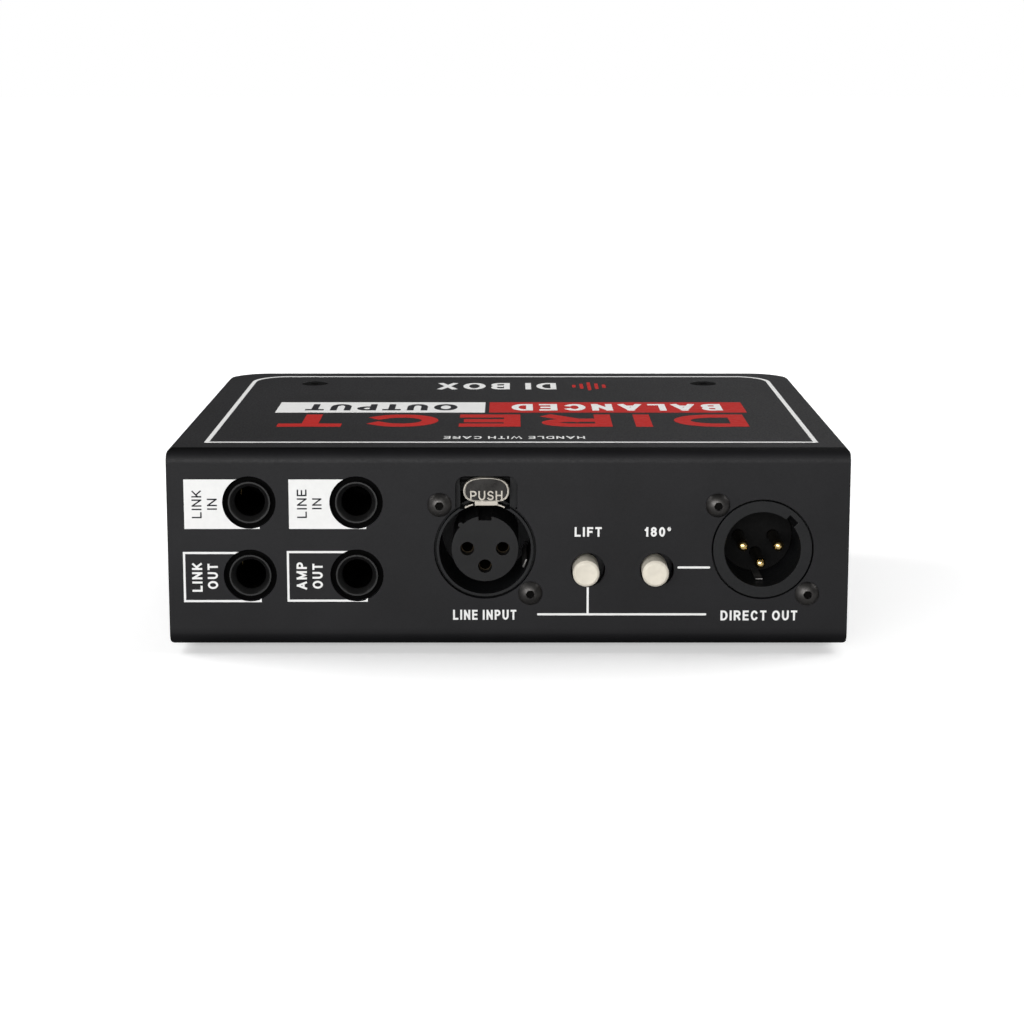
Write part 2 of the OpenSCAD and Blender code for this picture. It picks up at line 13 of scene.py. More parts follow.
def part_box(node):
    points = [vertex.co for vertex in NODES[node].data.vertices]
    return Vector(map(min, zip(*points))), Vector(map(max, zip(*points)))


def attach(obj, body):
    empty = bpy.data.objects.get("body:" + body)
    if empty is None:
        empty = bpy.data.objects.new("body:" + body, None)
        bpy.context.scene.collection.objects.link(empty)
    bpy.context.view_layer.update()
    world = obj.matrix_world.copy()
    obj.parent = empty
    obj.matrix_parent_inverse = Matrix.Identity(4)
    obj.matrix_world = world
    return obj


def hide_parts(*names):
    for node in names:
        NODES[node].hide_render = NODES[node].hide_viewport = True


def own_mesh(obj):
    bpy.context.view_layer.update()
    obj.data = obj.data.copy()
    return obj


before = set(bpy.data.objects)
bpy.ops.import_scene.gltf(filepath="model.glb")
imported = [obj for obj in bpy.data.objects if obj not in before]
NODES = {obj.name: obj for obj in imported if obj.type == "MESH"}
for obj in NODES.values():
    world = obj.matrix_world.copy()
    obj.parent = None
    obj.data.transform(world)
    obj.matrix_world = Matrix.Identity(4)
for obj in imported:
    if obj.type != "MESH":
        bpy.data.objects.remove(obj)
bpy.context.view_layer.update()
MM = 0.001

# Places in the frame, in millimetres
REAR_Y = -51.0  # socket panel's face
PANEL_Y = 40.0  # front panel's face
TOP_Z = 44.7
RISE = 1.2  # height of the zero line that both panels' printing is laid out from
INK = 0.03  # thickness of printed ink
FEMALE = (-5.0, 23.0)  # X and Z of the connectors' axes
MALE = (54.5, 22.9)
SCREW_OFF = 9.7  # connector screws, from the connector's axis along X and Z
LATCH_RISE = 0.3
JACK_X = (-55.4, -32.5)
JACK_HIGH = 32.0  # rear jack rows, above the zero line
JACK_LOW = 16.0
JACK_HOLE = 5.72
KNOB = (32.0, 17.2)  # X and Z of the level knob's axis
FRONT_X = {"INPUT": -50, "THRU": -26, "PAD": -4, "LO CUT": 12, "LEVEL": KNOB[0], "POWER": 55}
FRONT_ROW = 16.0  # axes of the front jacks and knob, above the zero line

# Where a material changes along one axis, in metres
LIP_Y = (0.0495, 0.0509)  # worn front lips of the case
SHADED_FOLD_Y = (-0.0485, -0.0478)  # painted shade on the folds behind the socket panel's face
SHADED_UPPER_FOLD_Z = (0.0432, 0.0446)
SHADED_LOWER_FOLD_Z = (0.0022, 0.0056)
REAR_NOSE_Y = (-0.0495, -0.0492)  # ends of the jacks in the panels; deeper in, the jack bodies get painted shade
FRONT_NOSE_Y = (0.0386, 0.0389)
PIN_Y = (-0.0478, -0.0466)  # painted shade on the male pins behind their tips

# Camera, in metres and degrees
CAMERA_AT = (0.00079, -0.45923, 0.12703)
CAMERA_TILT = 8.4275
CAMERA_LENS = 68.745
CAMERA_SHIFT = -0.16
AIM = (0, 0, 0.02)  # the point that all lights face


# ---------------------------------------------------------------- camera, lights, floor
def make_camera():
    data = bpy.data.cameras.new("camera")
    data.lens = CAMERA_LENS
    data.sensor_width = 36.0
    data.shift_y = CAMERA_SHIFT
    data.clip_start = 0.01
    data.clip_end = 20.0
    cam = bpy.data.objects.new("camera", data)
    cam.location = CAMERA_AT
    cam.rotation_euler = (math.radians(90 - CAMERA_TILT), 0, 0)
    bpy.context.scene.collection.objects.link(cam)
    bpy.context.scene.camera = cam


def area_light(name, place, size, power):
    data = bpy.data.lights.new(name, "AREA")
    data.shape = "RECTANGLE"
    data.size, data.size_y = size
    data.energy = power
    lamp = bpy.data.objects.new(name, data)
    lamp.location = place
    aim = Vector(AIM) - Vector(place)
    lamp.rotation_euler = aim.to_track_quat("-Z", "Y").to_euler()
    bpy.context.scene.collection.objects.link(lamp)


def make_world(strength):
    world = bpy.data.worlds.new("studio")
    bpy.context.scene.world = world
    world.use_nodes = True
    tree = world.node_tree
    tree.nodes.clear()
    out = tree.nodes.new("ShaderNodeOutputWorld")
    dim = tree.nodes.new("ShaderNodeBackground")
    dim.inputs["Color"].default_value = (1, 1, 1, 1)
    dim.inputs["Strength"].default_value = strength
    seen = tree.nodes.new("ShaderNodeBackground")
    seen.inputs["Color"].default_value = (1, 1, 1, 1)
    seen.inputs["Strength"].default_value = 1.0
    path = tree.nodes.new("ShaderNodeLightPath")
    mix = tree.nodes.new("ShaderNodeMixShader")
    tree.links.new(path.outputs["Is Camera Ray"], mix.inputs["Fac"])
    tree.links.new(dim.outputs[0], mix.inputs[1])
    tree.links.new(seen.outputs[0], mix.inputs[2])
    tree.links.new(mix.outputs[0], out.inputs["Surface"])


# ---------------------------------------------------------------- materials
class Nodes:
    """Short hand for one material's node tree."""

    def __init__(self, name):
        self.mat = bpy.data.materials.new(name)
        self.mat.use_nodes = True
        self.tree = self.mat.node_tree
        self.bsdf = self.tree.nodes["Principled BSDF"]
        self.coords = self.add("ShaderNodeTexCoord").outputs["Object"]

    def add(self, kind, **values):
        node = self.tree.nodes.new(kind)
        for key, value in values.items():
            setattr(node, key, value)
        return node

    def link(self, a, b):
        self.tree.links.new(a, b)

    def noise(self, scale, detail=3.0, rough=0.55, stretch=None):
        node = self.add("ShaderNodeTexNoise")
        node.inputs["Scale"].default_value = scale
        node.inputs["Detail"].default_value = detail
        node.inputs["Roughness"].default_value = rough
        where = self.coords
        if stretch:
            mapping = self.add("ShaderNodeMapping")
            mapping.inputs["Scale"].default_value = stretch
            self.link(where, mapping.inputs["Vector"])
            where = mapping.outputs[0]
        self.link(where, node.inputs["Vector"])
        return node.outputs["Fac"]

    def voronoi(self, scale, feature="F1"):
        node = self.add("ShaderNodeTexVoronoi", feature=feature)
        node.inputs["Scale"].default_value = scale
        self.link(self.coords, node.inputs["Vector"])
        return node.outputs["Distance"]

    def span(self, value, low, high, to_low, to_high):
        node = self.add("ShaderNodeMapRange", clamp=True)
        for key, number in zip(("From Min", "From Max", "To Min", "To Max"), (low, high, to_low, to_high)):
            node.inputs[key].default_value = number
        self.link(value, node.inputs["Value"])
        return node.outputs["Result"]

    def math(self, operation, a, b):
        node = self.add("ShaderNodeMath", operation=operation)
        for socket, value in zip(node.inputs, (a, b)):
            if isinstance(value, (int, float)):
                socket.default_value = value
            else:
                self.link(value, socket)
        return node.outputs[0]

    def blend(self, factor, a, b):
        node = self.add("ShaderNodeMix", data_type="RGBA")
        self.link(factor, node.inputs["Factor"])
        for socket, value in ((node.inputs[6], a), (node.inputs[7], b)):
            if isinstance(value, tuple):
                socket.default_value = (*value, 1)
            else:
                self.link(value, socket)
        return node.outputs[2]

    def bumps(self, *layers):
        """Each layer is (height socket, distance in metres, strength)."""
        last = None
        for height, distance, strength in layers:
            node = self.add("ShaderNodeBump")
            node.inputs["Distance"].default_value = distance
            node.inputs["Strength"].default_value = strength
            self.link(height, node.inputs["Height"])
            if last:
                self.link(last, node.inputs["Normal"])
            last = node.outputs["Normal"]
        self.link(last, self.bsdf.inputs["Normal"])

    def near(self, spots, low, high):
        """1 nearer than low to a line along Y through any of the spots (X, Z), 0 past high. In millimetres."""
        flat = self.add("ShaderNodeVectorMath", operation="MULTIPLY")
        self.link(self.coords, flat.inputs[0])
        flat.inputs[1].default_value = (1, 0, 1)
        best = None
        for x, z in spots:
            gap = self.add("ShaderNodeVectorMath", operation="DISTANCE")
            self.link(flat.outputs[0], gap.inputs[0])
            gap.inputs[1].default_value = (x * MM, 0, z * MM)
            best = gap.outputs["Value"] if best is None else self.math("MINIMUM", best, gap.outputs["Value"])
        return self.span(best, low * MM, high * MM, 1, 0)

    def axis(self, index):
        node = self.add("ShaderNodeSeparateXYZ")
        self.link(self.coords, node.inputs[0])
        return node.outputs[index]

    def finish(self, colour, rough, metallic=0.0, specular=0.5):
        if isinstance(colour, tuple):
            self.bsdf.inputs["Base Color"].default_value = (*colour, 1)
        else:
            self.link(colour, self.bsdf.inputs["Base Color"])
        if isinstance(rough, float):
            self.bsdf.inputs["Roughness"].default_value = rough
        else:
            self.link(rough, self.bsdf.inputs["Roughness"])
        self.bsdf.inputs["Metallic"].default_value = metallic
        self.bsdf.inputs["Specular IOR Level"].default_value = specular
        return self.mat


def scaled(colour, k):
    return tuple(min(1.0, c * k) for c in colour)


def powder_coat(name, base, rough=0.5, specular=0.35):
    """Powder paint with a pebbled skin, worn paler at the front lips, with painted shade on the rear folds."""
    n = Nodes(name)
    mottled = n.blend(n.span(n.noise(60, 4), 0.35, 0.65, 0, 1), scaled(base, 0.86), scaled(base, 1.14))
    lip = n.span(n.axis(1), *LIP_Y, 0, 1)
    worn = n.math("MULTIPLY", lip, n.span(n.noise(900, 3), 0.5, 0.7, 0, 0.5))
    # painted shade: the rear folds drop to 0.15 of the paint's colour and nearly lose their specular
    rear = n.span(n.axis(1), *SHADED_FOLD_Y, 1, 0)
    upper = n.math("MULTIPLY", rear, n.span(n.axis(2), *SHADED_UPPER_FOLD_Z, 0, 1))
    lower = n.math("MULTIPLY", rear, n.span(n.axis(2), *SHADED_LOWER_FOLD_Z, 0.7, 0))
    painted_fold_shade = n.math("ADD", upper, lower)
    colour = n.blend(painted_fold_shade, n.blend(worn, mottled, scaled(base, 3.5)), scaled(base, 0.15))
    n.link(n.span(painted_fold_shade, 0, 1, specular, 0.02), n.bsdf.inputs["Specular IOR Level"])
    pebble = n.noise(2600, 2, 0.5)
    n.bumps((n.noise(350, 2), 0.00004, 0.12), (pebble, 0.00003, 0.28))
    return n.finish(colour, n.span(pebble, 0.3, 0.7, rough - 0.06, rough + 0.08), 0, specular)


def plastic(name, base, rough=0.45, specular=0.4, grain=3000, depth=0.000012):
    """Moulded plastic: spark-eroded grain and faint flow marks."""
    n = Nodes(name)
    flow = n.noise(180, 3, 0.6, (1, 0.35, 1))
    colour = n.blend(n.span(flow, 0.35, 0.65, 0, 1), scaled(base, 0.88), scaled(base, 1.12))
    n.bumps((n.noise(grain, 2), depth, 0.35), (flow, 0.00003, 0.08))
    return n.finish(colour, n.span(n.noise(grain * 0.4, 3), 0.3, 0.7, rough - 0.07, rough + 0.07), 0, specular)


def metal(name, base, rough=0.28, brushed=(1, 1, 1), depth=0.000008, grain=1400, painted_shade=None):
    """Plated or machined metal: drawn lines or tumbled grain, smudged gloss. The optional mask marks painted
    shade.
    """
    n = Nodes(name)
    smudge = n.noise(220, 4)
    grainy = n.noise(grain, 4, 0.6, brushed)
    colour = n.blend(n.span(smudge, 0.3, 0.7, 0, 1), scaled(base, 0.84), scaled(base, 1.08))
    if painted_shade:
        # painted shade: the colour falls to 0.06 of the metal where the mask is 1
        colour = n.blend(painted_shade(n), colour, scaled(base, 0.06))
    both = n.math("ADD", n.math("MULTIPLY", smudge, 0.6), n.math("MULTIPLY", grainy, 0.4))
    n.bumps((grainy, depth, 0.3))
    return n.finish(colour, n.span(both, 0.3, 0.7, rough * 0.7, rough * 1.4), 1.0)


def moulded_socket(name, base):
    """Nylon jack body: satin noses in the panels, and painted shade with almost no gloss deeper in."""
    n = Nodes(name)
    y = n.axis(1)
    unshaded_nose = n.math("ADD", n.span(y, *REAR_NOSE_Y, 1, 0), n.span(y, *FRONT_NOSE_Y, 0, 1))
    grain = n.noise(2600, 2)
    n.bumps((grain, 0.000012, 0.35))
    n.link(n.span(unshaded_nose, 0, 1, 0.02, 0.4), n.bsdf.inputs["Specular IOR Level"])
    satin = n.blend(n.span(n.noise(200, 3), 0.35, 0.65, 0, 1), base, scaled(base, 1.3))
    # painted shade inside the jacks: a fifth of the colour and almost no specular behind the noses
    colour = n.blend(unshaded_nose, scaled(base, 0.2), satin)
    return n.finish(colour, n.span(grain, 0.3, 0.7, 0.36, 0.5))


def ink(name, base, rough=0.5):
    """Screen-printed ink: dense colour with a faint mesh texture and small pinholes."""
    n = Nodes(name)
    thin = n.span(n.noise(700, 4), 0.3, 0.7, 0, 1)
    colour = n.blend(thin, scaled(base, 0.95), base)
    n.bumps((n.noise(5000, 1), 0.00001, 0.2), (n.voronoi(3500), 0.000006, 0.15))
    return n.finish(colour, n.span(thin, 0, 1, rough - 0.05, rough + 0.08), 0, 0.1)


def foam_rubber(name, base):
    """Closed-cell foam sheet: small cells and a dry bloom."""
    n = Nodes(name)
    cells = n.voronoi(1500)
    bloom = n.span(n.noise(90, 5), 0.4, 0.7, 0, 1)
    n.bumps((cells, 0.0001, 0.6), (n.noise(3000, 2), 0.00004, 0.3))
    return n.finish(n.blend(bloom, base, scaled(base, 1.9)), n.span(cells, 0, 0.6, 0.95, 0.8), 0, 0.2)


def circuit_board(name):
    """Solder mask over tracks: darker where copper runs under the green."""
    n = Nodes(name)
    tracks = n.add("ShaderNodeTexBrick")
    tracks.inputs["Scale"].default_value = 90
    tracks.inputs["Mortar Size"].default_value = 0.06
    tracks.inputs["Mortar Smooth"].default_value = 0.1
    n.link(n.coords, tracks.inputs["Vector"])
    weave = n.noise(2500, 1, 0.5, (1, 3, 1))
    green = n.blend(n.span(weave, 0.3, 0.7, 0, 1), (0.012, 0.085, 0.035), (0.018, 0.11, 0.045))
    colour = n.blend(tracks.outputs["Fac"], green, (0.03, 0.17, 0.07))
    n.bumps((tracks.outputs["Fac"], 0.00004, 0.6), (weave, 0.00001, 0.2))
    return n.finish(colour, n.span(weave, 0.3, 0.7, 0.24, 0.36), 0, 0.5)


def laminations(name):
    """Edge of stacked core sheets with a coat of varnish."""
    n = Nodes(name)
    sheets = n.add("ShaderNodeTexWave", wave_type="BANDS", bands_direction="Y")
    sheets.inputs["Scale"].default_value = 640
    sheets.inputs["Distortion"].default_value = 0.6
    n.link(n.coords, sheets.inputs["Vector"])
    stripe = sheets.outputs["Fac"]
    colour = n.blend(stripe, (0.04, 0.035, 0.035), (0.2, 0.18, 0.17))
    rust = n.span(n.noise(160, 5), 0.55, 0.75, 0, 0.5)
    n.bumps((stripe, 0.00006, 0.6))
    return n.finish(n.blend(rust, colour, (0.16, 0.07, 0.03)), n.span(stripe, 0, 1, 0.55, 0.32), 0.7)


def wrapped_tape(name, base):
    """Amber tape wound round a coil, one lap over the next."""
    n = Nodes(name)
    laps = n.add("ShaderNodeTexWave", wave_type="BANDS", bands_direction="Z", wave_profile="SAW")
    laps.inputs["Scale"].default_value = 60
    laps.inputs["Distortion"].default_value = 0.4
    n.link(n.coords, laps.inputs["Vector"])
    lap = laps.outputs["Fac"]
    n.bumps((lap, 0.0001, 0.6), (n.noise(900, 3), 0.00003, 0.3))
    return n.finish(n.blend(lap, scaled(base, 0.6), base), n.span(n.noise(400, 3), 0.3, 0.7, 0.25, 0.45))


def sleeve(name, base):
    """Shrink sleeve with a pale polarity stripe down one side."""
    n = Nodes(name)
    stripe = n.add("ShaderNodeTexWave", wave_type="BANDS", bands_direction="X")
    stripe.inputs["Scale"].default_value = 24
    n.link(n.coords, stripe.inputs["Vector"])
    mask = n.span(stripe.outputs["Fac"], 0.93, 0.96, 0, 1)
    n.bumps((n.noise(1200, 2), 0.00002, 0.2))
    return n.finish(n.blend(mask, base, (0.55, 0.58, 0.66)), n.span(n.noise(500, 3), 0.3, 0.7, 0.22, 0.34))


def lens(name, base):
    """Tinted epoxy of the lamp, cloudy in patches."""
    n = Nodes(name)
    cloud = n.span(n.noise(900, 3), 0.35, 0.65, 0, 1)
    n.bsdf.inputs["Transmission Weight"].default_value = 0.55
    n.bsdf.inputs["IOR"].default_value = 1.5
    n.bumps((n.noise(700, 2), 0.00002, 0.1))
    return n.finish(n.blend(cloud, base, scaled(base, 1.3)), n.span(cloud, 0, 1, 0.08, 0.2))


def floor_paper(name):
    """Seamless white paper. Its own glow is for the camera only, so it hardly lights the box from below."""
    n = Nodes(name)
    fibre = n.noise(400, 4)
    n.bumps((fibre, 0.0001, 0.05))
    white = n.blend(n.span(fibre, 0.3, 0.7, 0, 1), (0.90, 0.90, 0.90), (0.93, 0.93, 0.93))
    n.finish(white, n.span(fibre, 0.3, 0.7, 0.85, 0.95), 0, 0.1)
    n.bsdf.inputs["Emission Color"].default_value = (1, 1, 1, 1)
    reach = n.add("ShaderNodeVectorMath", operation="LENGTH")
    n.link(n.coords, reach.inputs[0])
    n.link(n.span(reach.outputs["Value"], 0.25, 1.0, 0.38, 1.0), n.bsdf.inputs["Emission Strength"])
    dim = n.add("ShaderNodeBsdfDiffuse")
    dim.inputs["Color"].default_value = (0.5, 0.5, 0.5, 1)
    path = n.add("ShaderNodeLightPath")
    mix = n.add("ShaderNodeMixShader")
    n.link(path.outputs["Is Camera Ray"], mix.inputs["Fac"])
    n.link(dim.outputs[0], mix.inputs[1])
    n.link(n.bsdf.outputs[0], mix.inputs[2])
    n.link(mix.outputs[0], n.tree.nodes["Material Output"].inputs["Surface"])
    return n.mat


def screw_socket_shade(n):
    """Painted shade in the hex sockets of the four connector screws."""
    spots = [(x + s * SCREW_OFF, z - s * SCREW_OFF) for x, z in (FEMALE, MALE) for s in (-1, 1)]
    return n.near(spots, 0.8, 1.0)


def pin_shank_shade(n):
    """Painted shade on the part of the pins behind their tips."""
    return n.span(n.axis(1), *PIN_Y, 0, 0.92)


MATS = {
    "coat": powder_coat("powder_coat_black", (0.0088, 0.0087, 0.0098), 0.5, 0.19),
    "coat_front": powder_coat("powder_coat_front", (0.011, 0.011, 0.0118), 0.5, 0.22),
    "pad": foam_rubber("foam_rubber_black", (0.012, 0.012, 0.012)),
    "socket": moulded_socket("nylon_black", (0.005, 0.005, 0.005)),
    "shell": plastic("connector_shell_black", (0.008, 0.0083, 0.009), 0.46, 0.2),
    "insert": plastic("connector_insert_black", (0.0085, 0.0085, 0.009), 0.46, 0.2),
    # black male insert, darkened further as painted shade deep in its shell; also painted shade on the steel
    # latch pin
    "shade_black": plastic("black_painted_shade", (0.0025, 0.0025, 0.0025), 0.6, 0.08),
    "dark_part": plastic("component_black", (0.014, 0.014, 0.015), 0.4),
    "cream": plastic("button_cream", (0.68, 0.635, 0.54), 0.38, 0.4, 2200, 0.000008),
    "white_stem": plastic("stem_white", (0.78, 0.78, 0.75), 0.35),
    "knob": plastic("knob_black", (0.016, 0.016, 0.017), 0.36),
    # painted shade in the screws' hex sockets
    "black_screw": metal("screw_black_oxide", (0.075, 0.072, 0.07), 0.4, grain=2200, painted_shade=screw_socket_shade),
    "flat_screw": plastic("screw_black_phosphate", (0.0035, 0.0035, 0.0035), 0.75, 0.03, 2200),
    "satin_nickel": metal("nickel_satin", (0.47, 0.44, 0.39), 0.5, depth=0.000003),
    # painted shade: nickel darkened to 0.04, for the tab face's dark reflection and the knuckle in its notch
    "shaded_nickel": metal("nickel_painted_shade", (0.04, 0.0385, 0.037), 0.3),
    # painted shade: the female sockets' gold is darkened to look shaded in their holes
    "shaded_gold": metal("gold_in_shadow", (0.03, 0.023, 0.015), 0.5),
    # painted shade: the ground clips inside the connectors are steel darkened to 0.16
    "shaded_steel": metal("spring_strip", (0.16, 0.155, 0.15), 0.5),
    "steel": metal("zinc_plated_steel", (0.6, 0.6, 0.61), 0.32),
    "spring": metal("spring_steel", (0.5, 0.5, 0.52), 0.26),
    "alloy": metal("turned_aluminium", (0.72, 0.72, 0.73), 0.3, (1, 12, 1)),
    "brass": metal("brass_contact", (0.78, 0.6, 0.28), 0.26),
    # painted shade on the pins behind their tips
    "gold": metal("gold_plate", (0.95, 0.68, 0.28), 0.18, painted_shade=pin_shank_shade),
    "board": circuit_board("circuit_board_green"),
    "core": laminations("core_sheets"),
    "tape": wrapped_tape("coil_tape", (0.62, 0.36, 0.05)),
    "sleeve": sleeve("capacitor_sleeve", (0.015, 0.03, 0.11)),
    "lens": lens("lamp_lens", (0.05, 0.2, 0.75)),
    "white_ink": ink("ink_white", (0.8, 0.8, 0.79)),
    "red_ink": ink("ink_red", (0.46, 0.017, 0.014)),
    "black_ink": ink("ink_black", (0.018, 0.018, 0.022)),
}


# ---------------------------------------------------------------- carried-over CAD nodes
def soften(obj, width, segments):
    """Rounds a CAD node's edges with modifiers only; its mesh stays as packed."""
    weld = obj.modifiers.new("weld", "WELD")
    weld.merge_threshold = 0.000002
    merge = obj.modifiers.new("merge", "DECIMATE")
    merge.decimate_type = "DISSOLVE"
    merge.angle_limit = math.radians(0.4)
    bevel = obj.modifiers.new("bevel", "BEVEL")
    bevel.width = width * MM
    bevel.segments = segments
    bevel.limit_method = "ANGLE"
    bevel.angle_limit = math.radians(32)
    bevel.harden_normals = True
    bevel.use_clamp_overlap = True
    flatten = obj.modifiers.new("flatten", "WEIGHTED_NORMAL")
    flatten.mode = "FACE_AREA_WITH_ANGLE"
    flatten.weight = 100
    flatten.keep_sharp = False
    obj.data.shade_smooth()


def dress(key, names, edge, segments=2):
    """Gives each named CAD node a material and softened edges, edge millimetres wide."""
    for name in names.split():
        obj = NODES[name]
        obj.data.materials.clear()
        obj.data.materials.append(MATS[key])
        soften(obj, edge, segments)


def dress_nodes():
    dress("coat", "outer_shell", 0.28, 3)
    dress("coat_front", "inner_chassis", 0.2)
    dress("pad", "base_pad", 0.3)
    dress("flat_screw", "top_screws bottom_screws", 0.1)
    dress("black_screw", "connector_screws", 0.18, 3)
    dress("board", "main_board upper_board", 0.08)
    dress("brass", "board_spacers", 0.15)
    dress("steel", "base_standoffs board_screws level_pot", 0.08)
    dress("shaded_steel", "female_ground_clip male_ground_clip", 0.08)
    dress("alloy", "level_shaft level_nut", 0.2)
    dress("dark_part", "board_header chips", 0.12)
    dress("dark_part", "lift_switch phase_switch pad_switch filter_switch", 0.12)
    dress("socket", "link_in_jack link_out_jack line_in_jack amp_out_jack input_jack thru_jack", 0.14, 3)
    for stem in ("link_in", "link_out", "line_in", "amp_out", "input", "thru"):
        dress("brass", stem + "_contacts", 0.04)
    dress("shell", "female_shell male_shell", 0.2, 3)
    dress("insert", "female_insert", 0.2)
    dress("shade_black", "male_insert", 0.15)
    dress("shaded_gold", "female_sockets", 0.05)
    dress("gold", "male_pins", 0.05)
    dress("white_stem", "lift_plunger phase_plunger pad_plunger filter_plunger", 0.1)
    dress("cream", "lift_cap phase_cap pad_cap filter_cap", 0.12, 3)
    dress("lens", "power_led", 0.05)
    dress("core", "transformer_core", 0.12)
    dress("tape", "transformer_bobbin", 0.3)
    dress("sleeve", "capacitors", 0.4, 3)


# ---------------------------------------------------------------- mesh helpers
def finish_piece(name, bm, key, body="enclosure", smooth=35, bevel=0.0):
    """Turns a bmesh in millimetres into a piece in metres that rides on a body."""
    bmesh.ops.recalc_face_normals(bm, faces=bm.faces[:])
    bmesh.ops.scale(bm, vec=(MM, MM, MM), verts=bm.verts[:])
    data = bpy.data.meshes.new(name)
    bm.to_mesh(data)
    bm.free()
    data.shade_smooth()
    data.set_sharp_from_angle(angle=math.radians(smooth))
    data.materials.append(MATS[key])
    obj = bpy.data.objects.new(name, data)
    bpy.context.scene.collection.objects.link(obj)
    if bevel:
        mod = obj.modifiers.new("bevel", "BEVEL")
        mod.width = bevel * MM
        mod.segments = 2
        mod.limit_method = "ANGLE"
        mod.angle_limit = math.radians(smooth)
        mod.harden_normals = True
    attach(obj, body)
    return obj


def facing(origin, right, up):
    """Matrix that lays the flat XY plane on a face, with its X along right and its Y along up."""
    right, up = Vector(right), Vector(up)
    out = right.cross(up)
    rows = [(right[i], up[i], out[i], origin[i]) for i in range(3)]
    return Matrix([*rows, (0, 0, 0, 1)])


REAR = facing((0, REAR_Y, RISE), (1, 0, 0), (0, 0, 1))
FRONT = facing((0, PANEL_Y, RISE), (-1, 0, 0), (0, 0, 1))
TOP = facing((0, 0, TOP_Z), (-1, 0, 0), (0, -1, 0))


class Print:
    """Flat artwork on one face: outlines and words, each a thin raised layer."""

    def __init__(self, name, face, key, level=0.0):
        self.name, self.face, self.key, self.level = name, face, key, level
        self.bm = bmesh.new()
        self.strokes = 0

    def outline(self, points):
        verts = [self.bm.verts.new((x, y, self.level)) for x, y in points]
        self.bm.faces.new(verts)

    def line(self, a, b, width):
        """Straight line with round ends."""
        direction = (Vector(b) - Vector(a)).normalized()
        ends = []
        for centre, turn in ((Vector(b), -90), (Vector(a), 90)):
            for k in range(5):
                spin = Matrix.Rotation(math.radians(turn + 180 * k / 4), 2)
                ends.append(centre + spin @ direction * width / 2)
        self.outline([tuple(p) for p in ends])

    def band(self, outer, inner):
        """Closed ring between two outlines with the same number of points."""
        out = [self.bm.verts.new((x, y, self.level)) for x, y in outer]
        inn = [self.bm.verts.new((x, y, self.level)) for x, y in inner]
        for i in range(len(out)):
            j = (i + 1) % len(out)
            self.bm.faces.new((out[i], out[j], inn[j], inn[i]))

    def ribbon(self, points, width, closed=False):
        """Line of even width through the points, each on its own hair's breadth of height."""
        self.strokes += 1
        level = self.level + 0.0015 * (self.strokes % 5)
        pts = [Vector(p) for p in points]
        count = len(pts)
        sides = []
        for i, p in enumerate(pts):
            before = (p - pts[i - 1]).normalized() if (i or closed) else None
            after = (pts[(i + 1) % count] - p).normalized() if (i < count - 1 or closed) else before
            before = before or after
            normal = Vector((-before.y, before.x))
            mid = (normal + Vector((-after.y, after.x))).normalized()
            reach = mid * (width / 2 / max(0.45, mid.dot(normal)))
            sides.append([self.bm.verts.new((*(p + k * reach), level)) for k in (1, -1)])
        for i in range(count if closed else count - 1):
            (a, b), (c, d) = sides[i], sides[(i + 1) % count]
            self.bm.faces.new((a, b, d, c))

    def word(self, text, centre, cap, width, weight=0.17, turn=0):
        """Plain block lettering, centred on a point. weight is the stroke's share of the cap height."""
        gap = 0.13 + weight * 0.35
        sizes = [0.34 - gap if c == " " else weight if c == "I" else GLYPHS[c][0] + weight * 0.35 for c in text]
        k = width / (sum(sizes) + gap * (len(text) - 1))
        line = weight * (cap + k) / 2
        spin = Matrix.Rotation(math.radians(turn), 2)
        x = -width / 2
        for letter, size in zip(text, sizes):
            box = size * k
            for points, closed in GLYPHS[letter][1] if letter != " " else []:
                wide, tall = max(0.0, box - line), cap - line
                placed = [Vector((x + box / 2 + (u - 0.5) * wide, (v - 0.5) * tall)) for u, v in points]
                if not closed:
                    for end, near in ((0, 1), (-1, -2)):
                        placed[end] = placed[end] + (placed[end] - placed[near]).normalized() * line / 2
                self.ribbon([tuple(Vector(centre) + spin @ q) for q in placed], line, closed)
            x += box + gap * k

    def done(self, body="enclosure"):
        bmesh.ops.remove_doubles(self.bm, verts=self.bm.verts[:], dist=0.0008)
        bmesh.ops.dissolve_degenerate(self.bm, edges=self.bm.edges[:], dist=0.0005)
        faces = self.bm.faces[:]
        for f in faces:
            if f.normal.z < 0:
                f.normal_flip()
        grown = bmesh.ops.extrude_face_region(self.bm, geom=faces)
        raised = [g for g in grown["geom"] if isinstance(g, bmesh.types.BMVert)]
        bmesh.ops.translate(self.bm, vec=(0, 0, INK), verts=raised)
        bmesh.ops.transform(self.bm, matrix=self.face, verts=self.bm.verts[:])
        return finish_piece(self.name, self.bm, self.key, body, smooth=50)


def arc(cx, cy, r, a0, a1, n):
    steps = [math.radians(a0 + (a1 - a0) * i / n) for i in range(n + 1)]
    return [(cx + r * math.cos(a), cy + r * math.sin(a)) for a in steps]


def bend(cx, cy, rx, ry, a0, a1, n=12):
    return [(cx + (x - cx) * rx, cy + (y - cy) * ry) for x, y in arc(cx, cy, 1.0, a0, a1, n)]


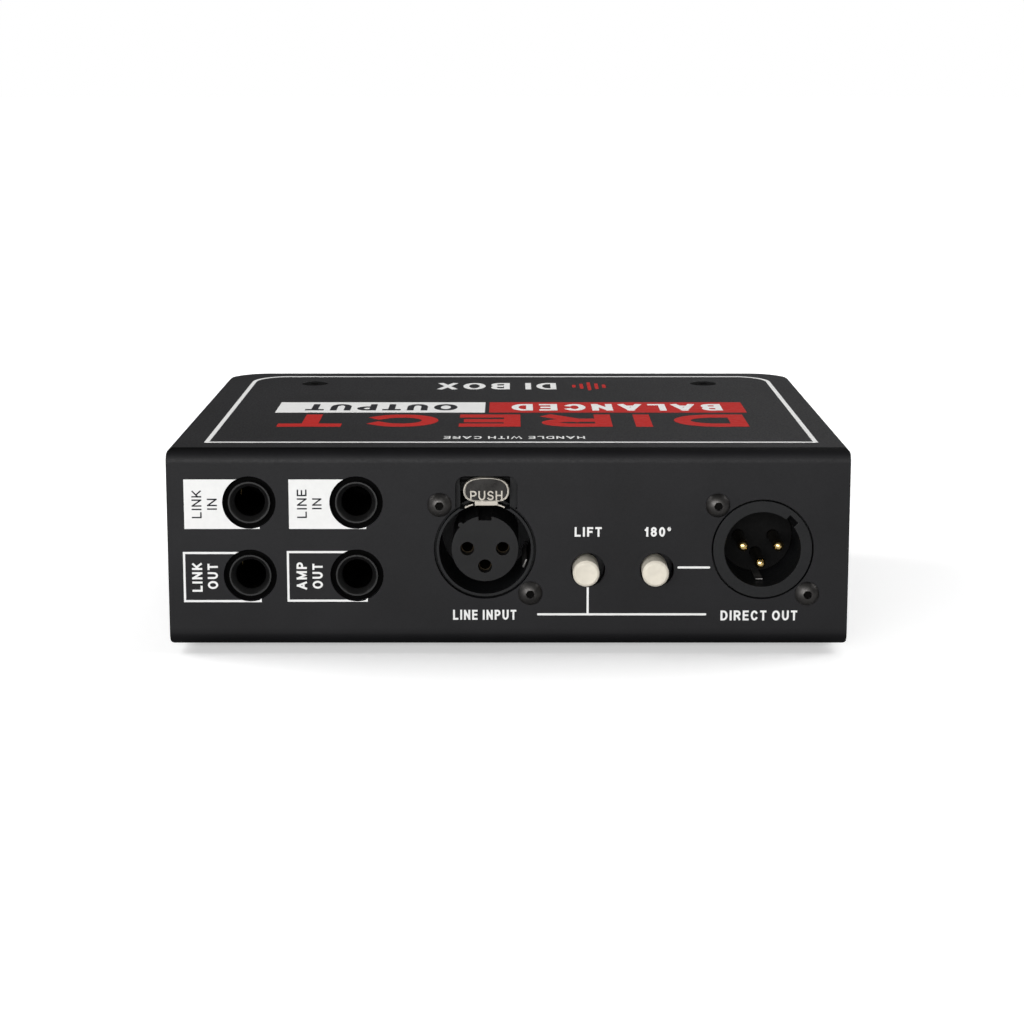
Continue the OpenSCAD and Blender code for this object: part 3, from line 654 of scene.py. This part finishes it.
def glyphs():
    """Width and strokes of each letter. Strokes run in a unit square, True marks a closed loop."""
    stem = ([(0, 0), (0, 1)], False)
    right = ([(1, 0), (1, 1)], False)
    base = ([(0, 0), (1, 0)], False)
    roof = ([(0, 1), (1, 1)], False)
    bowl = ([(0, 1), (0.5, 1), *bend(0.5, 0.73, 0.5, 0.27, 80, -80), (0.5, 0.46), (0, 0.46)], False)
    low_bowl = ([(0.5, 0.52), *bend(0.5, 0.26, 0.5, 0.26, 80, -80), (0.5, 0), (0, 0)], False)
    round_d = [(0, 1), (0.4, 1), *bend(0.4, 0.5, 0.6, 0.5, 80, -80), (0.4, 0), (0, 0)]
    curl = [*bend(0.5, 0.76, 0.46, 0.24, 25, 270), *bend(0.5, 0.26, 0.5, 0.26, 75, -155)]
    rise, fall = ([(0, 0), (0.5, 1)], False), ([(0.5, 1), (1, 0)], False)
    return {
        "A": (0.66, [rise, fall, ([(0.24, 0.3), (0.76, 0.3)], False)]),
        "B": (0.56, [stem, bowl, low_bowl]),
        "C": (0.62, [(bend(0.5, 0.5, 0.5, 0.5, 40, 320, 24), False)]),
        "D": (0.60, [stem, (round_d, False)]),
        "E": (0.50, [stem, base, roof, ([(0, 0.52), (0.9, 0.52)], False)]),
        "F": (0.48, [stem, roof, ([(0, 0.5), (0.85, 0.5)], False)]),
        "G": (0.66, [([*bend(0.5, 0.5, 0.5, 0.5, 42, 345, 24), (1, 0.45), (0.6, 0.45)], False)]),
        "H": (0.58, [stem, right, ([(0, 0.52), (1, 0.52)], False)]),
        "I": (0.17, [([(0.5, 0), (0.5, 1)], False)]),
        "K": (0.58, [stem, ([(0, 0.34), (0.92, 0.97)], False), ([(0.32, 0.55), (0.96, 0.03)], False)]),
        "L": (0.48, [stem, base]),
        "M": (0.70, [stem, right, ([(0, 1), (0.5, 0.12), (1, 1)], False)]),
        "N": (0.58, [stem, right, ([(0.04, 0.96), (0.96, 0.04)], False)]),
        "O": (0.68, [(bend(0.5, 0.5, 0.5, 0.5, 0, 348.75, 31), True)]),
        "P": (0.54, [stem, bowl]),
        "R": (0.58, [stem, bowl, ([(0.5, 0.46), (0.96, 0.03)], False)]),
        "S": (0.54, [(curl, False)]),
        "T": (0.52, [roof, ([(0.5, 0), (0.5, 1)], False)]),
        "U": (0.58, [([(0, 1), *bend(0.5, 0.4, 0.5, 0.4, 180, 360), (1, 1)], False)]),
        "V": (0.62, [([(0, 1), (0.5, 0)], False), ([(0.5, 0), (1, 1)], False)]),
        "W": (0.86, [([(0, 1), (0.25, 0), (0.5, 0.9), (0.75, 0), (1, 1)], False)]),
        "X": (0.60, [([(0.04, 0), (0.96, 1)], False), ([(0.04, 1), (0.96, 0)], False)]),
        "0": (0.46, [(bend(0.5, 0.5, 0.5, 0.5, 0, 348.75, 31), True)]),
        "1": (0.26, [([(0.9, 0), (0.9, 1)], False), ([(0.0, 0.74), (0.8, 0.96)], False)]),
        "8": (0.46, [(bend(0.5, cy, rx, ry, 0, 345, 23), True)
                     for cy, rx, ry in ((0.77, 0.44, 0.23), (0.27, 0.5, 0.27))]),
        "\u00b0": (0.24, [(bend(0.5, 0.86, 0.5, 0.14, 0, 345, 23), True)]),
    }


GLYPHS = glyphs()


# ---------------------------------------------------------------- printing on the case
def filled_label(art, cx, cy, x0, x1, y0, y1):
    """Filled box whose right part is cut by the socket's hole."""
    r = JACK_HOLE
    low = math.degrees(math.atan2(-math.sqrt(r * r - (x1 - cx) ** 2), x1 - cx))
    high = math.degrees(math.atan2(y1 - cy, -math.sqrt(r * r - (y1 - cy) ** 2)))
    art.outline([(x0, y0), (x1, y0), *arc(cx, cy, r, low, high - 360, 40), (x0, y1)])


def open_label(art, cx, cy, x0, x1, y0, y1, w):
    """Outlined box, open where the socket's hole cuts it."""
    r = JACK_HOLE
    art.outline([(x0, y0), (x0 + w, y0 + w), (x0 + w, y1 - w), (x0, y1)])
    top = []
    for k in range(5):
        y = y1 - w * k / 4
        top.append((cx - math.sqrt(max(0.0, r * r - (y - cy) ** 2)), y))
    art.outline([(x0, y1), *top, (x0 + w, y1 - w)])
    y = y0 + w
    reach = math.sqrt(max(0.01, r * r - (y - cy) ** 2))
    a = math.degrees(math.asin(min(1.0, reach / r)))
    tip = max(x1, cx + reach + 0.2)
    under = arc(cx, cy, r, -90 + a, -90 - a, 10)
    art.outline([(x0, y0), (tip, y0), (tip, y + 0.35), (tip - w, y), *under, (x0 + w, y)])


def rear_print():
    white = Print("rear_print_white", REAR, "white_ink")
    dark = Print("rear_print_dark", REAR, "black_ink", INK)
    filled_label(white, JACK_X[0], JACK_HIGH, -69.3, -53.2, 26.25, 37.05)
    filled_label(white, JACK_X[1], JACK_HIGH, -46.9, -30.4, 26.25, 37.05)
    open_label(white, JACK_X[0], JACK_LOW, -69.77, -53.05, 10.1, 21.2, 0.47)
    open_label(white, JACK_X[1], JACK_LOW, -47.5, -30.4, 10.2, 21.4, 0.47)
    dark.word("LINK", (-66.6, 31.65), 2.1, 6.1, 0.13, 90)
    dark.word("IN", (-63.3, 31.65), 2.1, 2.45, 0.13, 90)
    dark.word("LINE", (-44.1, 31.75), 2.1, 6.2, 0.13, 90)
    dark.word("IN", (-40.9, 31.75), 2.0, 2.4, 0.13, 90)
    white.word("LINK", (-66.8, 15.6), 2.2, 6.4, 0.19, 90)
    white.word("OUT", (-63.45, 15.8), 2.2, 5.55, 0.19, 90)
    white.word("AMP", (-44.35, 15.9), 2.2, 6.0, 0.19, 90)
    white.word("OUT", (-40.95, 15.85), 2.2, 5.5, 0.19, 90)
    white.word("LIFT", (17.1, 25.6), 2.1, 5.8, 0.19)
    white.word("180\u00b0", (32.0, 25.6), 2.1, 5.6, 0.19)
    white.word("LINE INPUT", (-5.1, 7.3), 2.2, 13.6, 0.19)
    white.word("DIRECT OUT", (53.95, 7.15), 2.2, 16.5, 0.19)
    white.line((6.4, 7.4), (42.4, 7.4), 0.47)
    white.ribbon([(17.07, 7.4), (17.07, 13.4)], 0.47)
    white.line((36.5, 17.77), (43.1, 17.77), 0.47)
    white.done()
    dark.done()


def border_outline(half, near, far, radius):
    """One outline of the top's frame line. Up is towards the sockets, right is -X."""
    points = [(half, near), (-half, near)]
    points += arc(-half + radius, far + radius, radius, 180, 270, 14)
    points += arc(half - radius, far + radius, radius, 270, 360, 14)
    return [(x - 0.6, y) for x, y in points]


def top_print():
    white = Print("top_print_white", TOP, "white_ink")
    red = Print("top_print_red", TOP, "red_ink")
    over = Print("top_print_overlay", TOP, "white_ink", INK)
    dark = Print("top_print_dark", TOP, "black_ink", INK)
    white.band(border_outline(66.55, 43.2, -46.0, 8.5), border_outline(65.55, 42.2, -45.0, 7.5))
    red.word("DIRECT", (-1.0, 17.1), 15.2, 107.0, 0.19)
    red.outline([(-56.0, -6.9), (4.6, -6.9), (4.6, 6.8), (-56.0, 6.8)])
    white.outline([(5.6, -6.9), (54.9, -6.9), (54.9, 6.8), (5.6, 6.8)])
    over.word("BALANCED", (-25.7, 0.0), 8.6, 50.0, 0.2)
    dark.word("OUTPUT", (30.2, 0.0), 8.2, 36.0, 0.2)
    white.word("DI BOX", (3.0, -30.5), 9.5, 30.0, 0.17)
    for k, tall in enumerate((3.0, 6.5, 11.0, 7.5, 4.0)):
        x = -16.5 - 1.9 * k
        red.line((x, -30.5 - tall / 2), (x, -30.5 + tall / 2), 0.9)
    white.word("HANDLE WITH CARE", (-1.3, 37.4), 2.9, 31.0, 0.13)
    for art in (white, red, over, dark):
        art.done()


def front_print():
    """Laid out as read from the front, where right is -X."""
    white = Print("front_print_white", FRONT, "white_ink")
    for text, wide in zip(FRONT_X, (7.2, 6.1, 4.7, 8.6, 7.3, 8.4)):
        white.word(text, (-FRONT_X[text], 29.6), 2.1, wide, 0.19)
    for k in range(11):
        a = math.radians(90 + 150 - 30 * k)
        c, s = math.cos(a), math.sin(a)
        far = 10.4 if k % 5 else 11.0
        white.line((-KNOB[0] + 8.9 * c, FRONT_ROW + 8.9 * s), (-KNOB[0] + far * c, FRONT_ROW + far * s), 0.4)
    white.word("0", (-KNOB[0] - 8.0, 6.0), 1.6, 1.0, 0.16)
    white.word("10", (-KNOB[0] + 8.4, 6.0), 1.6, 1.9, 0.16)
    for text in ("INPUT", "THRU"):
        outer = arc(-FRONT_X[text], FRONT_ROW, 8.2, 0, 354, 59)
        inner = arc(-FRONT_X[text], FRONT_ROW, 7.75, 0, 354, 59)
        white.band(outer, inner)
    for text, low in (("PAD", 21.4), ("LO CUT", 21.4), ("POWER", 19.6)):
        white.line((-FRONT_X[text], 27.6), (-FRONT_X[text], low), 0.4)
    white.done()


# ---------------------------------------------------------------- springs
def coil_spring(name, node, centre, y0, y1, radius, wire, turns):
    """Wound wire along Y with closed ends."""
    bm = bmesh.new()
    around, steps = 10, int(turns * 26)
    rings = []
    for i in range(steps + 1):
        t = i / steps
        ease = t * t * (3 - 2 * t) * 0.35 + t * 0.65
        y = y0 + wire / 2 + (y1 - y0 - wire) * ease
        a = 2 * math.pi * turns * t
        out = Vector((math.cos(a), 0, math.sin(a)))
        middle = Vector((centre[0], y, centre[1])) + out * radius
        ring = []
        for k in range(around):
            b = 2 * math.pi * k / around
            lift = Vector((0, math.sin(b) * wire / 2, 0))
            ring.append(bm.verts.new(middle + out * (math.cos(b) * wire / 2) + lift))
        rings.append(ring)
    for a, b in zip(rings, rings[1:]):
        for k in range(around):
            m = (k + 1) % around
            bm.faces.new((a[k], a[m], b[m], b[k]))
    bm.faces.new(rings[0])
    bm.faces.new(rings[-1][::-1])
    piece = finish_piece(name, bm, "spring")
    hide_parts(node)
    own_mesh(piece)


def springs():
    for name in ("lift", "phase", "pad", "filter"):
        low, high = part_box(name + "_spring")
        mid = (low + high) / 2 / MM
        coil_spring(name + "_coil", name + "_spring", (mid.x, mid.z), low.y / MM, high.y / MM,
                    radius=2.05, wire=0.38, turns=4.2)
    low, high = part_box("latch_spring")
    mid = (low + high) / 2 / MM
    coil_spring("latch_coil", "latch_spring", (mid.x, mid.z), low.y / MM, high.y / MM,
                radius=0.86, wire=0.26, turns=6.0)


# ---------------------------------------------------------------- push tab of the female connector
def add_box(bm, low, high):
    corners = [(x, y, z) for x in (low[0], high[0]) for y in (low[1], high[1]) for z in (low[2], high[2])]
    v = [bm.verts.new(c) for c in corners]
    for f in ((0, 1, 3, 2), (4, 6, 7, 5), (0, 4, 5, 1), (2, 3, 7, 6), (0, 2, 6, 4), (1, 5, 7, 3)):
        bm.faces.new([v[i] for i in f])


def smooth_loop(points, times=2):
    """Closed Chaikin curve."""
    for _ in range(times):
        cut = []
        for i, p in enumerate(points):
            q = points[(i + 1) % len(points)]
            cut.append((p[0] * 0.75 + q[0] * 0.25, p[1] * 0.75 + q[1] * 0.25))
            cut.append((p[0] * 0.25 + q[0] * 0.75, p[1] * 0.25 + q[1] * 0.75))
        points = cut
    return points


def loft(bm, rings):
    """Skin over rings with the same number of points, closed at both ends."""
    made = [[bm.verts.new(p) for p in ring] for ring in rings]
    for a, b in zip(made, made[1:]):
        for k in range(len(a)):
            m = (k + 1) % len(a)
            bm.faces.new((a[k], a[m], b[m], b[k]))
    bm.faces.new(made[0][::-1])
    bm.faces.new(made[-1])


def push_tab():
    cx, cz = FEMALE[0], FEMALE[1] + LATCH_RISE
    tx = cx + 0.3  # the tab sits a little to one side of the connector's axis
    half = [(0.8, 10.2), (3.1, 10.22), (4.3, 10.72), (4.9, 11.7), (4.98, 12.9),
            (4.5, 14.2), (3.2, 15.05), (1.5, 15.36), (0.5, 15.4)]
    points = smooth_loop(half + [(-x, z) for x, z in reversed(half)])
    mid_z = 12.6

    def ring(k, y):
        """The tab's outline at a depth y, shrunk about its middle to k of its size."""
        return [(tx + x * k, REAR_Y + y, cz + mid_z + (z - mid_z) * k) for x, z in points]

    bm = bmesh.new()
    profile = [(0.9, 1.2), (0.985, 1.15), (1.0, 0.9), (1.0, -0.38), (0.992, -0.52), (0.975, -0.59),
               (0.955, -0.6), (0.94, -0.59), (0.933, -0.5), (0.93, -0.3), (0.9, -0.26)]
    loft(bm, [ring(k, y) for k, y in profile])
    finish_piece("latch_tab", bm, "satin_nickel", "latch")

    # the tab's face is painted dark, standing in for its reflection
    dish = Print("latch_tab_face", facing((0, REAR_Y - 0.24, 0), (1, 0, 0), (0, 0, 1)), "shaded_nickel")
    dish.outline([(x, z) for x, _, z in ring(0.925, 0)])
    dish.done("latch")
    word = Print("latch_tab_word", facing((0, REAR_Y - 0.27, 0), (1, 0, 0), (0, 0, 1)), "satin_nickel")
    word.word("PUSH", (tx, cz + 11.5), 2.05, 6.9, 0.14)
    word.done("latch")

    bm = bmesh.new()
    add_box(bm, (tx - 2.5, REAR_Y - 0.45, cz + 9.3), (tx + 2.5, REAR_Y + 1.4, cz + 10.3))
    add_box(bm, (tx - 2.5, REAR_Y + 1.2, cz + 8.98), (tx + 2.5, REAR_Y + 11.4, cz + 10.0))
    add_box(bm, (tx - 2.4, REAR_Y + 9.5, cz + 8.45), (tx + 2.4, REAR_Y + 11.4, cz + 9.2))
    add_box(bm, (tx - 2.3, REAR_Y - 0.1, cz + 9.8), (tx + 2.3, REAR_Y + 1.1, cz + 10.9))
    arm = finish_piece("latch_arm", bm, "satin_nickel", "latch", bevel=0.14)
    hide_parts("female_latch")

    # two lips beside the arm, curved along the connector's ring
    bm = bmesh.new()
    section = [(9.4, -0.3), (9.8, -0.3), (9.8, 0.45), (9.4, 0.45)]
    lip_z = cz + 0.25
    for side in (-1, 1):
        rings = []
        for k in range(9):
            a = math.radians(90 - side * (15.0 + 11.5 * k / 8))
            c, s = math.cos(a), math.sin(a)
            rings.append([(cx + r * c, REAR_Y + y, lip_z + r * s) for r, y in section])
        loft(bm, rings)
    finish_piece("latch_lips", bm, "satin_nickel", "latch", bevel=0.12)

    bm = bmesh.new()
    # the knuckle in the notch gets painted shade
    add_box(bm, (cx - 3.2, REAR_Y + 1.0, cz + 13.4), (cx + 3.6, REAR_Y + 4.5, cz + 14.8))
    finish_piece("latch_knuckle", bm, "shaded_nickel", "latch", bevel=0.3)

    bm = bmesh.new()
    turned = []
    for x, r in ((-6.75, 0.55), (-6.6, 0.78), (6.6, 0.78), (6.75, 0.55)):
        turned.append([(cx + x, REAR_Y + 3.5 + y, cz + 14.5 + z) for y, z in arc(0, 0, r, 0, 345, 23)])
    loft(bm, turned)
    # the steel hinge pin is painted near black as shade
    finish_piece("latch_pin", bm, "shade_black", "latch")


# ---------------------------------------------------------------- level knob
def level_knob():
    cx, cz = KNOB
    count, flutes, depth = 180, 18, 0.35
    # radius, Y, and the share of the flutes' full depth
    profile = [(3.0, 50.33, 0), (5.2, 50.3, 0), (5.6, 50.5, 0), (6.1, 50.6, 0), (6.5, 50.5, 0.3),
               (6.8, 50.2, 0.7), (6.95, 49.6, 1), (7.0, 46.0, 1), (7.0, 43.6, 1), (6.95, 43.1, 0.7),
               (6.8, 42.8, 0.3), (6.5, 42.7, 0), (3.15, 42.7, 0), (3.05, 42.9, 0), (3.05, 49.5, 0)]
    rings = []
    for r, y, flute in profile:
        ring = []
        for i in range(count):
            a = 2 * math.pi * i / count
            bite = max(0.0, math.cos(a * flutes)) ** 2 * depth * flute
            ring.append((cx + (r - bite) * math.sin(a), y, cz + (r - bite) * math.cos(a)))
        rings.append(ring)
    bm = bmesh.new()
    loft(bm, rings)
    knob = finish_piece("level_knob_moulded", bm, "knob", "level_control")
    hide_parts("level_knob")
    mark = Print("level_pointer", facing((0, 50.3, 0), (-1, 0, 0), (0, 0, 1)), "white_ink")
    mark.line((-cx, cz + 1.6), (-cx, cz + 5.1), 0.8)
    mark.done("level_control")


# ---------------------------------------------------------------- floor and lights
def floor():
    bm = bmesh.new()
    bmesh.ops.create_grid(bm, x_segments=2, y_segments=2, size=6.0)
    data = bpy.data.meshes.new("floor")
    bm.to_mesh(data)
    bm.free()
    data.materials.append(floor_paper("floor_paper"))
    obj = bpy.data.objects.new("floor", data)
    obj.location.z = -0.0002
    bpy.context.scene.collection.objects.link(obj)


def lights():
    make_world(0.12)
    area_light("key", (-0.4, -1.6, 0.38), (1.8, 0.7), 29)
    area_light("left", (-1.25, 0.25, 0.9), (0.9, 0.9), 15)
    area_light("right", (1.25, 0.25, 0.9), (0.9, 0.9), 12)
    area_light("back", (0.5, 1.1, 1.3), (1.0, 0.8), 5)


make_camera()
dress_nodes()
rear_print()
top_print()
front_print()
springs()
push_tab()
level_knob()
floor()
lights()
bpy.context.scene.view_settings.view_transform = "Standard"
